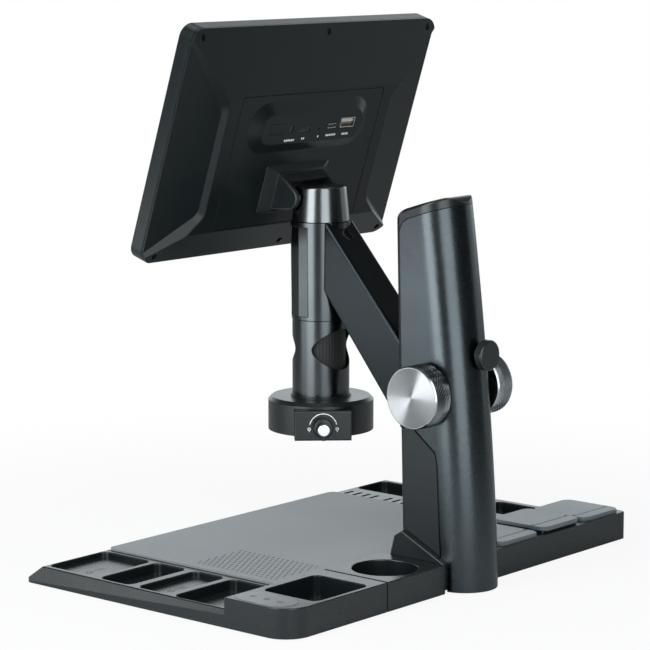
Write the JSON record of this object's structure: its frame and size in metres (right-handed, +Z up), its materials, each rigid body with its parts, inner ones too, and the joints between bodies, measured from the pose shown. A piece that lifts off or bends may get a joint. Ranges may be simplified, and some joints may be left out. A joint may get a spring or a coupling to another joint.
{
  "type": "video magnifier",
  "caption": "Desk video magnifier: screen and camera column on a rack-and-pinion pillar, with a ring light, over a tray base with a work mat.",
  "frame": {"origin": "middle of the whole object's footprint, on the table", "axes": "+Z up; the user sits on the -Y side and looks along +Y; +X is the user's right, where the open trays are"},
  "size_m": [0.36, 0.2466, 0.3662],
  "materials": {
    "black_satin": "satin, fine texture",
    "tray_black": "smooth satin, soft reflections",
    "mat_grey": "matt, fine grain",
    "lid_blue_grey": "satin",
    "touch_grey": "satin",
    "rubber_black": "matt",
    "plate_steel": "powder coat",
    "gunmetal": "semi-gloss paint",
    "bright_steel": "ground",
    "knob_metal": "turned, polished rim, knurled band",
    "brass_parts": "turned",
    "dark_metal": "satin paint",
    "cast_aluminium": "machined",
    "screw_black": "black oxide",
    "shell_metal": "plated",
    "board_green": "solder mask",
    "lens_clear": "coated",
    "screen_black": "glossy, flat",
    "lcd_dark": "glossy",
    "diffuser_white": "frosted",
    "cap_silver": "polished",
    "button_black": "semi-gloss"
  },
  "bodies": {
    "base": {"base_plate": "plate_steel", "rubber_feet": "rubber_black", "right_tray": "tray_black", "left_tray": "tray_black", "mat_deck": "tray_black", "work_mat": "mat_grey", "cup_block": "tray_black", "parts_box": "tray_black", "lid_hinge_strips": "lid_blue_grey", "touch_plate": "touch_grey", "foot_collar": "tray_black", "pillar_shell": "gunmetal", "pillar_front_cover": "black_satin", "pillar_front_housing": "dark_metal", "pillar_foot_block": "cast_aluminium", "rail_top_block": "cast_aluminium", "guide_rods": "bright_steel", "base_screws": "screw_black", "shaft_bushes": "brass_parts"},
    "lid_1": {"box_lid_1": "lid_blue_grey"},
    "lid_2": {"box_lid_2": "lid_blue_grey"},
    "lid_3": {"box_lid_3": "lid_blue_grey"},
    "focus": {"pinion_shaft": "bright_steel", "focus_knob_left": "knob_metal", "focus_knob_right": "knob_metal"},
    "lock": {"lock_knob": "black_satin"},
    "slide": {"carriage": "cast_aluminium", "focus_rack": "brass_parts", "arm": "dark_metal", "arm_screws": "screw_black", "column_lower": "dark_metal", "column_upper": "dark_metal", "column_strip": "dark_metal", "column_head": "dark_metal", "camera_board": "board_green"},
    "lens": {"focus_ring": "rubber_black", "lens_barrel": "dark_metal", "lens_glass": "lens_clear"},
    "ring_light": {"ring_light_housing": "black_satin", "led_board": "board_green", "light_diffuser": "diffuser_white", "control_box": "black_satin", "brightness_pot": "shell_metal"},
    "brightness": {"brightness_knob": "black_satin", "knob_cap": "cap_silver"},
    "monitor": {"back_cover": "black_satin", "front_bezel": "black_satin", "screen_glass": "screen_black", "lcd_panel": "lcd_dark", "main_board": "board_green", "usb_sockets": "shell_metal", "card_slot": "shell_metal", "monitor_screws": "screw_black", "hinge_bracket": "black_satin", "tilt_pin": "bright_steel"},
    "reset": {"reset_button": "button_black"},
    "menu_1": {"menu_button_1": "button_black"},
    "menu_2": {"menu_button_2": "button_black"},
    "menu_3": {"menu_button_3": "button_black"},
    "menu_4": {"menu_button_4": "button_black"}
  },
  "joints": [
    {"name": "lid_1_hinge", "type": "hinge", "parent": "base", "child": "lid_1", "pos_m": [-0.059, 0.0933, 0.021], "axis": [-1, 0, 0], "range_deg": [0, 95]},
    {"name": "lid_2_hinge", "type": "hinge", "parent": "base", "child": "lid_2", "pos_m": [-0.1068, 0.0933, 0.0226], "axis": [-1, 0, 0], "range_deg": [0, 95]},
    {"name": "lid_3_hinge", "type": "hinge", "parent": "base", "child": "lid_3", "pos_m": [-0.1546, 0.0933, 0.021], "axis": [-1, 0, 0], "range_deg": [0, 95]},
    {"name": "height_slide", "type": "slide", "parent": "base", "child": "slide", "axis": [0, 0, 1], "range_m": [-0.035, 0.055]},
    {"name": "focus_turn", "type": "hinge", "parent": "base", "child": "focus", "pos_m": [0, 0.0887, 0.1285], "axis": [-1, 0, 0], "range_deg": [-251, 394.5]},
    {"name": "lock_turn", "type": "hinge", "parent": "base", "child": "lock", "pos_m": [0, 0.1167, 0.1544], "axis": [0, 1, 0], "range_deg": [0, 180]},
    {"name": "focus_ring_turn", "type": "hinge", "parent": "slide", "child": "lens", "pos_m": [0, -0.022, 0.14], "axis": [0, 0, 1], "range_deg": [-60, 60]},
    {"name": "ring_light_turn", "type": "hinge", "parent": "slide", "child": "ring_light", "pos_m": [0, -0.022, 0.105], "axis": [0, 0, 1], "range_deg": [-90, 90]},
    {"name": "brightness_turn", "type": "hinge", "parent": "ring_light", "child": "brightness", "pos_m": [0.03082, 0.00654, 0.0972], "axis": [0.7337, 0.6794, 0], "range_deg": [0, 300]},
    {"name": "monitor_tilt", "type": "hinge", "parent": "slide", "child": "monitor", "pos_m": [0, -0.03086, 0.24709], "axis": [-1, 0, 0], "range_deg": [-20, 25]},
    {"name": "reset_press", "type": "slide", "parent": "monitor", "child": "reset", "axis": [0, -0.9511, 0.309], "range_m": [0, 0.0005], "stiffness_N_per_m": 400, "springref_m": -0.0005},
    {"name": "menu_1_press", "type": "slide", "parent": "monitor", "child": "menu_1", "axis": [0, 0.9511, -0.309], "range_m": [0, 0.0006], "stiffness_N_per_m": 500, "springref_m": -0.0006},
    {"name": "menu_2_press", "type": "slide", "parent": "monitor", "child": "menu_2", "axis": [0, 0.9511, -0.309], "range_m": [0, 0.0006], "stiffness_N_per_m": 500, "springref_m": -0.0006},
    {"name": "menu_3_press", "type": "slide", "parent": "monitor", "child": "menu_3", "axis": [0, 0.9511, -0.309], "range_m": [0, 0.0006], "stiffness_N_per_m": 500, "springref_m": -0.0006},
    {"name": "menu_4_press", "type": "slide", "parent": "monitor", "child": "menu_4", "axis": [0, 0.9511, -0.309], "range_m": [0, 0.0006], "stiffness_N_per_m": 500, "springref_m": -0.0006}
  ],
  "couplings": [
    {"joint": "focus_turn", "follows": "height_slide", "rad_per_m": 125}
  ]
}
